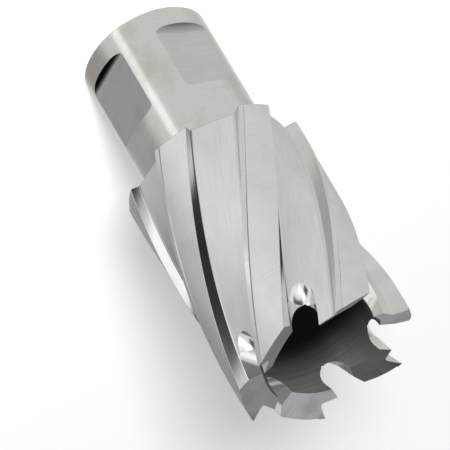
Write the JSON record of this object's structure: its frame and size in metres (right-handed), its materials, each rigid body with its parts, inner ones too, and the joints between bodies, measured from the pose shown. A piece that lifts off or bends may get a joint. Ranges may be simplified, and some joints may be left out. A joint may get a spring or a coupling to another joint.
{
  "type": "annular cutter",
  "caption": "Hollow steel hole cutter with helical outside flutes, staggered end teeth and a round shank with two clamping flats.",
  "frame": {"origin": "centre of the shank's flat end face", "axes": "+Z along the cutter's axis, from the shank to the teeth; +X to the right in the picture's level view, seen along +Y"},
  "size_m": [0.0266, 0.0266, 0.0591],
  "materials": {
    "steel": "ground high-speed steel, satin"
  },
  "bodies": {
    "root": {"cutter": "steel"}
  },
  "joints": []
}
